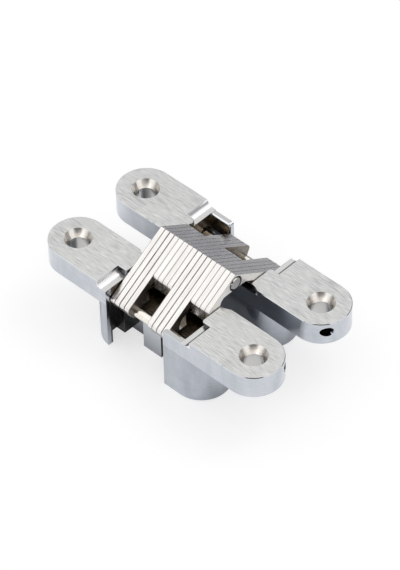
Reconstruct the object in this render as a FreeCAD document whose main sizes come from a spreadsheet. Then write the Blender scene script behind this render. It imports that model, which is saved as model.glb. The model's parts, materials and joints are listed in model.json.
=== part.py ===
import FreeCAD, Part
import math
import os
import Sketcher

# Concealed door hinge, opened flat: two cast leaves with round ends, joined by
# two sets of steel links that cross over one centre pin. X runs along the
# leaves, Z points out of their faces, and Z = 0 is the bottom of the leaves.
doc = FreeCAD.newDocument("concealed_hinge")
sheet = doc.addObject("Spreadsheet::Sheet", "Sizes")
# Driving dimensions, in millimetres or degrees.
SIZES = {
    # Leaves: face plate, deep body behind it, and screw holes.
    "plate_length": 117,  # length of the face plate over its round ends
    "leaf_width": 24,  # width of a leaf, twice the radius of its round ends
    "plate_thickness": 10.2,  # thickness of the face plate
    "body_length": 61.8,  # length of the deep body over its round ends
    "leaf_depth": 32.4,  # depth of the deep body below the face
    "leaf_gap": 13.68,  # gap between the leaves when the hinge is open
    "screw_spacing": 93,  # distance between the two screw holes of a leaf
    "screw_bore": 7.8,  # diameter of a screw hole
    "screw_head": 11.4,  # diameter of the countersink at the face
    "screw_sink": 3.4,  # depth of the countersink
    "edge_chamfer": 0.25,  # chamfer round the face and on the wall's top edge
    "base_round": 0.6,  # round edge at the bottom of the deep body

    # Pins and the places of their axes, from a leaf's inner edge and its face.
    "pivot_inset": 4.94,  # inner edge to the pivot pin's axis
    "pivot_depth": 4.12,  # face to the pivot pin's axis
    "slide_inset": 17.31,  # inner edge to the slide pin's axis
    "slide_depth": 11.34,  # face to the slide pin's axis, hinge open
    "centre_rise": 5.96,  # face to the centre pin's axis, hinge open
    "pin_diameter": 4.4,  # pivot pins and the middle of the slide pins
    "journal_diameter": 3.4,  # turned ends of the slide pins
    "centre_diameter": 5.3,  # centre pin
    "pin_fit": 0.05,  # gap all round between a pin and its hole
    "pin_chamfer": 0.3,  # chamfer on every pin end
    "pivot_seat": 4.5,  # length of the pivot pin held in each end of a leaf
    "journal_length": 2.4,  # length of a slide pin's turned end in its slot
    "centre_proud": 0.2,  # how far the centre pin stands out of the stack

    # Stack of link plates, in groups that alternate between the two sets.
    "group_count": 4,  # groups of link plates
    "group_plate_count": 4,  # link plates in a group
    "link_thickness": 2.3,  # thickness of a link plate
    "link_spacing": 0.17,  # gap between neighbouring link plates
    "side_clearance": 0.3,  # gap between link plates and what they pass

    # Outline of a link plate, measured from the centre pin's axis.
    "apex_rise": 4.49,  # centre pin's axis to the ridge of the plate
    "flank_angle": 32.2,  # slope of both outer flanks
    "toe_reach": 5.1,  # slide pin's axis out to the toe of the long arm
    "slide_eye": 3.1,  # radius of the eye round the slide pin
    "pivot_eye": 3.15,  # radius of the eye round the pivot pin
    "arm_width": 3.2,  # width of the long arm across its flank
    "belly_drop": 2.76,  # centre pin's axis to the flat underside
    "toe_round": 1.8,  # round corner at the toe
    "heel_round": 2.0,  # round corner above the pivot pin
    "arm_round": 5.0,  # hollow between the long arm and its eye
    "belly_round": 4.0,  # corner between the underside and the long arm
    "crotch_round": 3.0,  # hollow between the underside and the short arm
    "ring_width": 0.65,  # width of the countersink round the centre pin
    "ring_depth": 0.5,  # depth of the countersink round the centre pin

    # Pocket in a leaf: bays, slots, outer wall, step and relieved rim.
    "long_block": 10.46,  # width of the block left under the long arms
    "saddle_depth": 5.0,  # face to the top of that block
    "floor_depth": 9.9,  # face to the top of the block under the short arms
    "slot_inset": 17.93,  # inner edge to the middle of the slide slot
    "slot_width": 6.6,  # width of the slide slot
    "slot_depth": 4.5,  # how far a slide slot runs into the pocket's end
    "wall_top": 3.1,  # face to the top of the outer wall
    "wall_round": 1.2,  # round corner at the free end of the outer wall
    "wall_lip": 1.0,  # round inner edge along the outer wall's top
    "step_width": 4.5,  # width of the step at each end of the pocket
    "step_radius": 2.8,  # depth of the step, and its round inner corner
    "step_inset": 12.4,  # inner edge to the end wall of the step
    "step_corner": 1.2,  # round corner where the step meets the pocket
    "rim_drop": 2.5,  # face down to the relieved rim along the inner edge
    "rim_cutter": 7.3,  # radius of the cutter that relieved the rim
    "bulge_reach": 3.43,  # how far the slide pin's way bends outwards
    "bulge_drop": 7.6,  # slide pin, hinge open, down to that bend
    "bulge_radius": 16.5,  # radius of the bend
    "slide_clearance": 0.2,  # gap round the slide pin on that way
}
for row, (name, value) in enumerate(SIZES.items(), start=1):
    sheet.set("A%d" % row, name)
    sheet.set("B%d" % row, str(value))
    sheet.setAlias("B%d" % row, name)
doc.recompute()


class Names(dict):
    """Turns {name} in a formula into the cell with that alias."""

    def __missing__(self, name):
        return "Sizes." + name


def cell(formula):
    """Formula of the sheet's cells, as an expression of the document."""
    return "(" + formula.format_map(Names()) + ")"


def number(formula):
    """Value of a formula, for a starting position or a count."""
    value = sheet.evalExpression(cell(formula))
    return float(getattr(value, "Value", value))


# Places shared by several pieces, as formulas of the cells.
HALF_WIDTH = "{leaf_width} / 2"
PITCH = "({link_thickness} + {link_spacing})"
GROUP = "({group_plate_count} * (%s))" % PITCH
HALF_STACK = "({group_count} * %s / 2)" % GROUP
BAY_START = "({side_clearance} - {link_spacing} / 2)"
POCKET_END = "(%s + %s)" % (HALF_STACK, BAY_START)
PIVOT_Y = "(%s - {pivot_inset})" % HALF_WIDTH
SLIDE_Y = "(%s - {slide_inset})" % HALF_WIDTH
SLOT_Y = "(%s - {slot_inset})" % HALF_WIDTH
SLOT_OUTER = "(%s - {slot_width} / 2)" % SLOT_Y
SLOT_INNER = "(%s + {slot_width} / 2)" % SLOT_Y
WALL = "(%s + %s)" % (HALF_WIDTH, SLOT_OUTER)
WALL_END = "(%s - %s + %s)" % (HALF_STACK, GROUP, BAY_START)
RIM_INNER = "(%s + {pivot_eye} + {side_clearance})" % PIVOT_Y
OUTSIDE = "(-%s - {leaf_width} / 4)" % HALF_WIDTH
BELOW = "(-{leaf_depth} - {leaf_width} / 4)"
ABOVE = "({leaf_width} / 4)"


def new_body(label):
    """Start one piece: a body whose label names its file."""
    body = doc.addObject("PartDesign::Body", label)
    body.Label = label
    return body


def place(body, x="0", y="0", z="0", turned=False):
    """Put a piece in the hinge, turned half round about Z for the other side."""
    angle = 180 if turned else 0
    body.Placement = FreeCAD.Placement(
        FreeCAD.Vector(number(x), number(y), number(z)),
        FreeCAD.Rotation(FreeCAD.Vector(0, 0, 1), angle),
    )
    body.setExpression("Placement.Base.x", cell(x))
    body.setExpression("Placement.Base.y", cell(y))
    body.setExpression("Placement.Base.z", cell(z))


def new_sketch(body, name, plane, offset="0"):
    """Sketch on one of the body's own planes, moved along its normal."""
    sketch = body.newObject("Sketcher::SketchObject", name)
    planes = [item for item in body.Origin.OriginFeatures if item.Role == plane]
    sketch.AttachmentSupport = [(planes[0], "")]
    sketch.MapMode = "FlatFace"
    if offset != "0":
        sketch.setExpression("AttachmentOffset.Base.z", cell(offset))
    return sketch


def bind(sketch, kind, place_args, formula):
    """Add a dimension to a sketch and tie it to the sheet."""
    index = sketch.addConstraint(Sketcher.Constraint(kind, *place_args, number(formula)))
    sketch.setExpression("Constraints[%d]" % index, cell(formula))


def pin_point(sketch, item, end, point):
    """Fix one point of a sketch at two formulas, across and up."""
    bind(sketch, "DistanceX", (item, end), point[0])
    bind(sketch, "DistanceY", (item, end), point[1])


def vector(point):
    return FreeCAD.Vector(number(point[0]), number(point[1]), 0)


def join(sketch, first, second):
    """Let one line of a sketch start where another ends."""
    sketch.addConstraint(Sketcher.Constraint("Coincident", first, 2, second, 1))


def draw_outline(sketch, points):
    """Closed outline of straight lines through the given points."""
    corners = [vector(point) for point in points]
    lines = []
    for index, start in enumerate(corners):
        end = corners[(index + 1) % len(corners)]
        lines.append(sketch.addGeometry(Part.LineSegment(start, end), False))
    for index, line in enumerate(lines):
        join(sketch, lines[index - 1], line)
        pin_point(sketch, line, 1, points[index])


def draw_circle(sketch, centre, diameter):
    """Circle at a point, by its diameter."""
    circle = Part.Circle(vector(centre), FreeCAD.Vector(0, 0, 1), number(diameter) / 2)
    item = sketch.addGeometry(circle, False)
    pin_point(sketch, item, 3, centre)
    bind(sketch, "Diameter", (item,), diameter)


def draw_arc(sketch, centre, radius, start, end):
    """Arc by its centre and radius, between two angles to start from."""
    circle = Part.Circle(vector(centre), FreeCAD.Vector(0, 0, 1), number(radius))
    item = sketch.addGeometry(Part.ArcOfCircle(circle, start, end), False)
    pin_point(sketch, item, 3, centre)
    bind(sketch, "Radius", (item,), radius)
    return item


def touch(sketch, line, line_end, arc, arc_end):
    """Let a line run smoothly into an arc."""
    sketch.addConstraint(Sketcher.Constraint("Tangent", line, line_end, arc, arc_end))


def draw_stadium(sketch, length, width):
    """Long shape with two half-round ends, centred on the sketch's origin."""
    reach = "((%s) - (%s)) / 2" % (length, width)
    radius = "(%s) / 2" % width
    far = number(reach)
    high = number(radius)
    right = draw_arc(sketch, (reach, "0"), radius, -math.pi / 2, math.pi / 2)
    left = draw_arc(sketch, ("-(%s)" % reach, "0"), radius, math.pi / 2, 3 * math.pi / 2)
    top = sketch.addGeometry(
        Part.LineSegment(FreeCAD.Vector(far, high, 0), FreeCAD.Vector(-far, high, 0)), False
    )
    bottom = sketch.addGeometry(
        Part.LineSegment(FreeCAD.Vector(-far, -high, 0), FreeCAD.Vector(far, -high, 0)), False
    )
    touch(sketch, top, 1, right, 2)
    touch(sketch, top, 2, left, 1)
    touch(sketch, bottom, 1, left, 2)
    touch(sketch, bottom, 2, right, 1)


def pad(body, name, sketch, length, backwards=False, both_ways=False):
    """Extrude a sketch, along its normal or against it."""
    feature = body.newObject("PartDesign::Pad", name)
    feature.Profile = sketch
    feature.setExpression("Length", cell(length))
    feature.Reversed = backwards
    feature.SideType = "Symmetric" if both_ways else "One side"
    doc.recompute()
    return feature


def pocket(body, name, sketch, length, forwards=False, both_ways=False):
    """Cut a sketch away, against its normal or along it, and prove that it cut."""
    before = body.Tip.Shape.Volume
    feature = body.newObject("PartDesign::Pocket", name)
    feature.Profile = sketch
    feature.setExpression("Length", cell(length))
    feature.Reversed = forwards
    feature.SideType = "Symmetric" if both_ways else "One side"
    doc.recompute()
    if not feature.Shape.Volume < before:
        raise RuntimeError(body.Label + ": " + name + " cuts nothing")
    return feature


def mirror(body, name, features):
    """Repeat features on the other side of the body's YZ plane."""
    feature = body.newObject("PartDesign::Mirrored", name)
    feature.Originals = features
    planes = [item for item in body.Origin.OriginFeatures if item.Role == "YZ_Plane"]
    feature.MirrorPlane = (planes[0], [""])
    body.Tip = feature
    doc.recompute()
    return feature


def repeat_along_x(body, name, features, spacing, count):
    """Repeat features along the leaf at an even spacing."""
    feature = body.newObject("PartDesign::LinearPattern", name)
    feature.Originals = features
    axes = [item for item in body.Origin.OriginFeatures if item.Role == "X_Axis"]
    feature.Direction = (axes[0], [""])
    feature.Mode = "Spacing"
    feature.setExpression("Offset", cell(spacing))
    feature.Occurrences = count
    body.Tip = feature
    doc.recompute()
    return feature


def find_edges(feature, test):
    """Names of the edges that pass a test on their bounding box."""
    names = []
    for index, edge in enumerate(feature.Shape.Edges):
        if test(edge.BoundBox):
            names.append("Edge%d" % (index + 1))
    if not names:
        raise RuntimeError(feature.Name + " has no such edge")
    return names


def dress(body, kind, name, test, formula):
    """Fillet or chamfer the edges of the body's last feature that pass a test."""
    base = body.Tip
    names = find_edges(base, test)
    feature = body.newObject("PartDesign::" + kind, name)
    feature.Base = (base, names)
    feature.setExpression("Radius" if kind == "Fillet" else "Size", cell(formula))
    doc.recompute()
    return feature


def near(value, formula):
    """Whether a coordinate is where a formula says."""
    return abs(value - number(formula)) < 0.01


def build_leaf(label):
    """Cast leaf: face plate and deep body in one, with the pocket cut into it."""
    body = new_body(label)

    plate = new_sketch(body, label + "_plate_outline", "XY_Plane")
    draw_stadium(plate, "{plate_length}", "{leaf_width}")
    pad(body, label + "_plate", plate, "{plate_thickness}", backwards=True)
    deep = new_sketch(body, label + "_body_outline", "XY_Plane")
    draw_stadium(deep, "{body_length}", "{leaf_width}")
    pad(body, label + "_deep_body", deep, "{leaf_depth}", backwards=True)
    dress(
        body, "Fillet", label + "_base_round",
        lambda box: near(box.ZMin, "-{leaf_depth}") and near(box.ZMax, "-{leaf_depth}"),
        "{base_round}",
    )
    dress(
        body, "Chamfer", label + "_face_edge",
        lambda box: near(box.ZMin, "0") and near(box.ZMax, "0"),
        "{edge_chamfer}",
    )

    cut_bays(body, label)
    cut_outer_side(body, label)
    cut_ends(body, label)
    relieve_rim(body, label)
    cut_holes(body, label)
    return body


def cut_bays(body, label):
    """Bays for the four groups of plates: long arms and short arms in turn."""
    half_groups = int(number("{group_count} / 2"))
    bay_width = "(%s + 2 * %s)" % (GROUP, BAY_START)
    spacing = "2 * " + GROUP

    # A long arm swings past the block's outer face and over its low top.
    first = "-%s - %s" % (HALF_STACK, BAY_START)
    long_bay = new_sketch(body, label + "_long_bay_outline", "YZ_Plane", first)
    block_face = "(%s - {long_block})" % HALF_WIDTH
    draw_outline(long_bay, [
        (SLOT_OUTER, BELOW),
        (block_face, BELOW),
        (block_face, "-{saddle_depth}"),
        (RIM_INNER, "-{saddle_depth}"),
        (RIM_INNER, ABOVE),
        (SLOT_OUTER, ABOVE),
    ])
    long_cut = pocket(body, label + "_long_bay", long_bay, bay_width, forwards=True)
    repeat_along_x(body, label + "_long_bays", [long_cut], spacing, half_groups)

    # A short arm only turns about the pivot pin, above a wider block.
    second = "-%s - %s + %s" % (HALF_STACK, BAY_START, GROUP)
    short_bay = new_sketch(body, label + "_short_bay_outline", "YZ_Plane", second)
    draw_outline(short_bay, [
        (SLOT_OUTER, BELOW),
        (SLOT_INNER, BELOW),
        (SLOT_INNER, "-{floor_depth}"),
        (RIM_INNER, "-{floor_depth}"),
        (RIM_INNER, ABOVE),
        (SLOT_OUTER, ABOVE),
    ])
    short_cut = pocket(body, label + "_short_bay", short_bay, bay_width, forwards=True)
    repeat_along_x(body, label + "_short_bays", [short_cut], spacing, half_groups)


def cut_outer_side(body, label):
    """Outer side: open along three groups, a low wall with a round corner at the last."""
    opening = new_sketch(body, label + "_side_opening_outline", "XY_Plane")
    draw_outline(opening, [
        ("-%s" % POCKET_END, OUTSIDE),
        (WALL_END, OUTSIDE),
        (WALL_END, "(%s + {side_clearance})" % SLOT_OUTER),
        ("-%s" % POCKET_END, "(%s + {side_clearance})" % SLOT_OUTER),
    ])
    pocket(body, label + "_side_opening", opening, "-%s" % BELOW)
    rim = new_sketch(body, label + "_wall_top_outline", "XY_Plane")
    draw_outline(rim, [
        (WALL_END, OUTSIDE),
        (POCKET_END, OUTSIDE),
        (POCKET_END, SLOT_OUTER),
        (WALL_END, SLOT_OUTER),
    ])
    pocket(body, label + "_wall_top", rim, "{wall_top}")
    dress(
        body, "Fillet", label + "_wall_corner",
        lambda box: near(box.XMin, WALL_END) and near(box.XMax, WALL_END)
        and near(box.YMin, SLOT_OUTER) and near(box.YMax, SLOT_OUTER),
        "min({wall_round}; 0.45 * %s)" % WALL,
    )
    dress(
        body, "Fillet", label + "_wall_lip",
        lambda box: near(box.XMax, POCKET_END) and near(box.YMin, SLOT_OUTER)
        and near(box.YMax, SLOT_OUTER) and near(box.ZMin, "-{wall_top}")
        and near(box.ZMax, "-{wall_top}"),
        "min({wall_lip}; 0.4 * %s)" % WALL,
    )
    dress(
        body, "Chamfer", label + "_wall_edge",
        lambda box: near(box.XMax, POCKET_END) and near(box.YMin, "-" + HALF_WIDTH)
        and near(box.YMax, "-" + HALF_WIDTH) and near(box.ZMin, "-{wall_top}")
        and near(box.ZMax, "-{wall_top}"),
        "min({edge_chamfer}; 0.12 * %s)" % WALL,
    )


def cut_ends(body, label):
    """Step and slide slot at one end of the pocket, then the same at the other."""
    reach = "(%s + {step_width})" % POCKET_END
    centre = "(%s - {step_radius})" % reach

    # The step is open outwards and has a round corner along its inner wall.
    end_wall = "(%s - {step_inset})" % HALF_WIDTH
    step = new_sketch(body, label + "_step_outline", "XZ_Plane", "-" + end_wall)
    arc = draw_arc(step, (centre, "0"), "{step_radius}", -math.pi / 2, 0)
    base = "-{step_radius}"
    points = [(centre, base), (POCKET_END, base), (POCKET_END, "0"), (reach, "0")]
    lines = []
    for start, end in zip(points, points[1:]):
        lines.append(step.addGeometry(Part.LineSegment(vector(start), vector(end)), False))
    touch(step, lines[0], 1, arc, 1)
    join(step, lines[0], lines[1])
    join(step, lines[1], lines[2])
    step.addConstraint(Sketcher.Constraint("Coincident", lines[2], 2, arc, 2))
    pin_point(step, lines[0], 2, points[1])
    pin_point(step, lines[1], 2, points[2])
    step.addConstraint(Sketcher.Constraint("Horizontal", lines[2]))
    step_cut = pocket(body, label + "_step", step, "{leaf_width}", forwards=True)

    # The slot holds the slide pin's end and is open at the bottom.
    slot = new_sketch(body, label + "_slot_outline", "YZ_Plane", POCKET_END)
    crown = draw_arc(slot, (SLOT_Y, "-{slide_depth}"), "{slot_width} / 2", 0, math.pi)
    corners = [
        (SLOT_OUTER, "-{slide_depth}"),
        (SLOT_OUTER, BELOW),
        (SLOT_INNER, BELOW),
        (SLOT_INNER, "-{slide_depth}"),
    ]
    walls = []
    for start, end in zip(corners, corners[1:]):
        walls.append(slot.addGeometry(Part.LineSegment(vector(start), vector(end)), False))
    touch(slot, walls[0], 1, crown, 2)
    touch(slot, walls[2], 2, crown, 1)
    join(slot, walls[0], walls[1])
    join(slot, walls[1], walls[2])
    pin_point(slot, walls[0], 2, corners[1])
    pin_point(slot, walls[1], 2, corners[2])
    slot_cut = pocket(body, label + "_slot", slot, "{slot_depth}", forwards=True)

    hollow = draw_hollow(
        body, label + "_slot_hollow", POCKET_END, "{journal_diameter} / 2 + {slide_clearance}"
    )
    depth = "{journal_length} + {side_clearance}"
    hollow_cut = pocket(body, label + "_slot_relief", hollow, depth, forwards=True)
    mirror(body, label + "_far_end", [step_cut, slot_cut, hollow_cut])
    dress(
        body, "Fillet", label + "_step_corner",
        lambda box: (near(box.XMin, POCKET_END) or near(box.XMax, "-" + POCKET_END))
        and box.XLength < 0.01 and box.YLength < 0.01 and near(box.YMin, end_wall)
        and near(box.ZMax, "0"),
        "{step_corner}",
    )

    inside = draw_hollow(
        body, label + "_wall_hollow", WALL_END, "{pin_diameter} / 2 + {slide_clearance}"
    )
    pocket(
        body, label + "_wall_relief", inside, "%s - %s" % (POCKET_END, WALL_END), forwards=True
    )


def draw_hollow(body, name, offset, reach):
    """Shallow hollow that follows the bend in the slide pin's way."""
    sketch = new_sketch(body, name, "YZ_Plane", offset)
    radius = "({bulge_radius} + %s)" % reach
    centre = ("(%s - {bulge_reach} + {bulge_radius})" % SLIDE_Y, "(-{slide_depth} - {bulge_drop})")
    across = number(centre[0]) - number(SLOT_OUTER)
    half_turn = math.acos(across / number(radius))
    arc = draw_arc(sketch, centre, radius, math.pi - half_turn, math.pi + half_turn)
    curve = sketch.Geometry[arc]
    chord = sketch.addGeometry(Part.LineSegment(curve.EndPoint, curve.StartPoint), False)
    sketch.addConstraint(Sketcher.Constraint("Coincident", chord, 1, arc, 2))
    sketch.addConstraint(Sketcher.Constraint("Coincident", chord, 2, arc, 1))
    sketch.addConstraint(Sketcher.Constraint("Vertical", chord))
    bind(sketch, "DistanceX", (chord, 1), SLOT_OUTER)
    return sketch


def relieve_rim(body, label):
    """Lower the rim that the plates cross; the round cutter runs out at both ends."""
    relief = new_sketch(body, label + "_rim_outline", "XY_Plane")
    middle = "(%s + {rim_cutter})" % RIM_INNER
    right = draw_arc(relief, (POCKET_END, middle), "{rim_cutter}", -math.pi / 2, 0)
    left = draw_arc(relief, ("-" + POCKET_END, middle), "{rim_cutter}", math.pi, 3 * math.pi / 2)
    right_arc = relief.Geometry[right]
    left_arc = relief.Geometry[left]
    inner = relief.addGeometry(Part.LineSegment(left_arc.EndPoint, right_arc.StartPoint), False)
    outer = relief.addGeometry(Part.LineSegment(right_arc.EndPoint, left_arc.StartPoint), False)
    touch(relief, inner, 1, left, 2)
    touch(relief, inner, 2, right, 1)
    relief.addConstraint(Sketcher.Constraint("Coincident", outer, 1, right, 2))
    relief.addConstraint(Sketcher.Constraint("Coincident", outer, 2, left, 1))
    relief.addConstraint(Sketcher.Constraint("Horizontal", outer))
    bind(relief, "DistanceY", (outer, 1), middle)
    pocket(body, label + "_rim_relief", relief, "{rim_drop}")


def cut_holes(body, label):
    """Bore for the pivot pin from end to end, and two countersunk screw holes."""
    bore = new_sketch(body, label + "_bore_outline", "YZ_Plane")
    draw_circle(bore, (PIVOT_Y, "-{pivot_depth}"), "{pin_diameter} + 2 * {pin_fit}")
    pocket(body, label + "_bore", bore, "{plate_length} + {leaf_width}", both_ways=True)

    # Half of the hole's section, turned round its own axis.
    axis = "{screw_spacing} / 2"
    head = "(%s + {screw_head} / 2)" % axis
    shank = "(%s + {screw_bore} / 2)" % axis
    section = new_sketch(body, label + "_screw_section", "XZ_Plane")
    draw_outline(section, [
        (axis, "0"),
        (head, "0"),
        (shank, "-{screw_sink}"),
        (shank, "-{plate_thickness} - {screw_sink}"),
        (axis, "-{plate_thickness} - {screw_sink}"),
    ])
    screw = body.newObject("PartDesign::Groove", label + "_screw_hole")
    screw.Profile = section
    screw.ReferenceAxis = (section, ["Edge5"])
    screw.Angle = 360
    doc.recompute()
    mirror(body, label + "_screw_holes", [screw])


def build_link(label):
    """Link plate: a bent lever with a long arm towards +Y and a short arm back."""
    body = new_body(label)
    slope = "tan({flank_angle} * 1 deg)"
    slide = ("({leaf_gap} / 2 + {slide_inset})", "(-{centre_rise} - {slide_depth})")
    pivot = ("(-{leaf_gap} / 2 - {pivot_inset})", "(-{centre_rise} - {pivot_depth})")
    toe_y = "(%s + {toe_reach})" % slide[0]
    toe = (toe_y, "({apex_rise} - %s * %s)" % (toe_y, slope))
    under_arm = "({apex_rise} - {arm_width} / cos({flank_angle} * 1 deg))"
    arm_y = "(%s - {slide_eye})" % slide[0]
    arm = (arm_y, "(%s - %s * %s)" % (under_arm, arm_y, slope))
    belly = ("((%s + {belly_drop}) / %s)" % (under_arm, slope), "-{belly_drop}")
    crotch = ("(%s + {pivot_eye})" % pivot[0], "-{belly_drop}")
    heel_y = "(%s - {pivot_eye})" % pivot[0]
    heel = (heel_y, "({apex_rise} + %s * %s)" % (heel_y, slope))

    outline = new_sketch(body, label + "_outline", "YZ_Plane")
    foot = draw_arc(outline, slide, "{slide_eye}", math.pi, 2 * math.pi)
    hook = draw_arc(outline, pivot, "{pivot_eye}", math.pi, 2 * math.pi)
    foot_left = outline.Geometry[foot].StartPoint
    foot_right = outline.Geometry[foot].EndPoint
    hook_left = outline.Geometry[hook].StartPoint
    hook_right = outline.Geometry[hook].EndPoint
    apex = ("0", "{apex_rise}")
    stretches = [
        (vector(apex), vector(toe)),
        (vector(toe), foot_right),
        (foot_left, vector(arm)),
        (vector(arm), vector(belly)),
        (vector(belly), vector(crotch)),
        (vector(crotch), hook_right),
        (hook_left, vector(heel)),
        (vector(heel), vector(apex)),
    ]
    lines = [outline.addGeometry(Part.LineSegment(a, b), False) for a, b in stretches]
    for first, second in ((7, 0), (0, 1), (2, 3), (3, 4), (4, 5), (6, 7)):
        join(outline, lines[first], lines[second])
    touch(outline, lines[1], 2, foot, 2)
    touch(outline, lines[2], 1, foot, 1)
    touch(outline, lines[5], 2, hook, 2)
    touch(outline, lines[6], 1, hook, 1)
    for line, point in ((0, apex), (1, toe), (3, arm), (4, belly), (5, crotch), (7, heel)):
        pin_point(outline, lines[line], 1, point)
    pad(body, label + "_plate", outline, "{link_thickness}")

    rounds = (
        ("toe", toe, "{toe_round}"),
        ("arm", arm, "{arm_round}"),
        ("belly", belly, "{belly_round}"),
        ("crotch", crotch, "{crotch_round}"),
        ("heel", heel, "{heel_round}"),
    )
    for name, corner, radius in rounds:
        dress(
            body, "Fillet", label + "_" + name,
            lambda box: near(box.YMin, corner[0]) and near(box.YMax, corner[0])
            and near(box.ZMin, corner[1]) and near(box.ZMax, corner[1]),
            radius,
        )

    holes = new_sketch(body, label + "_holes_outline", "YZ_Plane")
    draw_circle(holes, ("0", "0"), "{centre_diameter} + 2 * {pin_fit}")
    draw_circle(holes, slide, "{pin_diameter} + 2 * {pin_fit}")
    draw_circle(holes, pivot, "{pin_diameter} + 2 * {pin_fit}")
    pocket(body, label + "_holes", holes, "4 * {link_thickness}", both_ways=True)
    return body


def sink_ring(body, label):
    """Countersink round the centre pin, on the outer face of an end plate."""
    inner = "({centre_diameter} / 2 + {pin_fit})"
    outer = "(%s + {ring_width})" % inner
    section = new_sketch(body, label + "_ring_section", "XZ_Plane")
    draw_outline(section, [
        ("{link_thickness}", "0"),
        ("{link_thickness}", outer),
        ("({link_thickness} - {ring_depth})", inner),
        ("({link_thickness} - {ring_depth})", "0"),
    ])
    ring = body.newObject("PartDesign::Groove", label + "_ring")
    ring.Profile = section
    ring.ReferenceAxis = (section, ["H_Axis"])
    ring.Angle = 360
    doc.recompute()


def build_pin(label, diameter, length):
    """Plain pin along X with chamfered ends, centred on its own origin."""
    body = new_body(label)
    section = new_sketch(body, label + "_section", "YZ_Plane")
    draw_circle(section, ("0", "0"), diameter)
    pad(body, label + "_shank", section, length, both_ways=True)
    dress(
        body, "Chamfer", label + "_chamfer",
        lambda box: box.XLength < 0.01,
        "{pin_chamfer}",
    )
    return body


def build_slide_pin(label):
    """Slide pin: full thickness in the pocket, turned down at both ends."""
    body = new_body(label)
    section = new_sketch(body, label + "_section", "XZ_Plane")
    shoulder = "(%s - {side_clearance})" % POCKET_END
    tip = "(%s + {journal_length})" % POCKET_END
    thick = "({pin_diameter} / 2)"
    thin = "({journal_diameter} / 2)"
    draw_outline(section, [
        ("-%s" % tip, "0"),
        ("-%s" % tip, "(%s - {pin_chamfer})" % thin),
        ("(-%s + {pin_chamfer})" % tip, thin),
        ("-%s" % shoulder, thin),
        ("-%s" % shoulder, thick),
        (shoulder, thick),
        (shoulder, thin),
        ("(%s - {pin_chamfer})" % tip, thin),
        (tip, "(%s - {pin_chamfer})" % thin),
        (tip, "0"),
    ])
    turned = body.newObject("PartDesign::Revolution", label + "_turned")
    turned.Profile = section
    turned.ReferenceAxis = (section, ["H_Axis"])
    turned.Angle = 360
    doc.recompute()
    return body


# Two leaves, the second turned half round so that the hinge is the same from both sides.
LEAF_Y = "({leaf_gap} / 2 + %s)" % HALF_WIDTH
FACE = "{leaf_depth}"
leaf_a = build_leaf("leaf_a")
place(leaf_a, y="-" + LEAF_Y, z=FACE)
leaf_b = build_leaf("leaf_b")
place(leaf_b, y=LEAF_Y, z=FACE, turned=True)

# Sixteen link plates; the groups turn their long arms to the two leaves in turn.
pieces = [leaf_a, leaf_b]
centre_z = "({leaf_depth} + {centre_rise})"
per_group = int(number("{group_plate_count}"))
plate_total = per_group * int(number("{group_count}"))
for index in range(plate_total):
    label = "link_plate_%02d" % (index + 1)
    link = build_link(label)
    towards_a = (index // per_group) % 2 == 0
    left_face = "(-%s + {link_spacing} / 2 + %d * %s)" % (HALF_STACK, index, PITCH)
    right_face = "(%s + {link_thickness})" % left_face
    if index in (0, plate_total - 1):
        sink_ring(link, label)
    place(link, x=right_face if towards_a else left_face, z=centre_z, turned=towards_a)
    pieces.append(link)

# Pins: one centre pin, and a pivot pin and a slide pin in each leaf.
centre_length = "2 * (%s - {link_spacing} / 2 + {centre_proud})" % HALF_STACK
centre_pin = build_pin("centre_pin", "{centre_diameter}", centre_length)
place(centre_pin, z=centre_z)
pieces.append(centre_pin)
pivot_length = "2 * (%s + {pivot_seat})" % POCKET_END
for side, sign in (("a", "-"), ("b", "")):
    pivot_pin = build_pin("pivot_pin_" + side, "{pin_diameter}", pivot_length)
    place(pivot_pin, y=sign + "({leaf_gap} / 2 + {pivot_inset})", z="{leaf_depth} - {pivot_depth}")
    pieces.append(pivot_pin)
    slide_pin = build_slide_pin("slide_pin_" + side)
    place(slide_pin, y=sign + "({leaf_gap} / 2 + {slide_inset})", z="{leaf_depth} - {slide_depth}")
    pieces.append(slide_pin)
doc.recompute()

for item in doc.Objects:
    if "Invalid" in item.State or "Error" in item.State:
        raise RuntimeError(item.Name + " did not build")
os.makedirs("parts", exist_ok=True)
for piece in pieces:
    if piece.Shape.isNull() or not piece.Shape.isValid():
        raise RuntimeError(piece.Label + " has no valid shape")
    piece.Shape.exportStep("parts/" + piece.Label + ".step")
    print(piece.Label, "solids", len(piece.Shape.Solids), "volume", round(piece.Shape.Volume, 1))
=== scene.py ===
"""Looks of a concealed door hinge: two cast leaves joined by a stack of crossed steel plates."""

import json
import math

import bpy
from mathutils import Matrix, Vector


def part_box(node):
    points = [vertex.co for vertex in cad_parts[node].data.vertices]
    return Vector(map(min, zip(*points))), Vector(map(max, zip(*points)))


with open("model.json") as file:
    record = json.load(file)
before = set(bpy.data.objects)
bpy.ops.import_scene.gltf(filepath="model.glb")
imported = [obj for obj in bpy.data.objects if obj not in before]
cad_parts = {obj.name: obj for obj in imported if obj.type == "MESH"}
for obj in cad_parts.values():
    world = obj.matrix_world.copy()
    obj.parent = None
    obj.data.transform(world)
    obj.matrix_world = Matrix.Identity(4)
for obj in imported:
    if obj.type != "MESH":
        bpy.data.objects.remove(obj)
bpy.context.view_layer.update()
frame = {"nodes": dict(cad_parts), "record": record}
nodes = frame["nodes"]


# The two leaves.
# Each is one zinc die casting: a face plate with round ends, and behind it a deep body with the
# pockets for the plates. It is nickel plated, and its face is then brushed along the length.

MM = 0.001


def srgb(code):
    """A colour from its hex code, as the linear values that a shader takes."""
    parts = [int(code[i:i + 2], 16) / 255 for i in (0, 2, 4)]
    linear = [c / 12.92 if c <= 0.04045 else ((c + 0.055) / 1.055) ** 2.4 for c in parts]
    return (*linear, 1.0)


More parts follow.
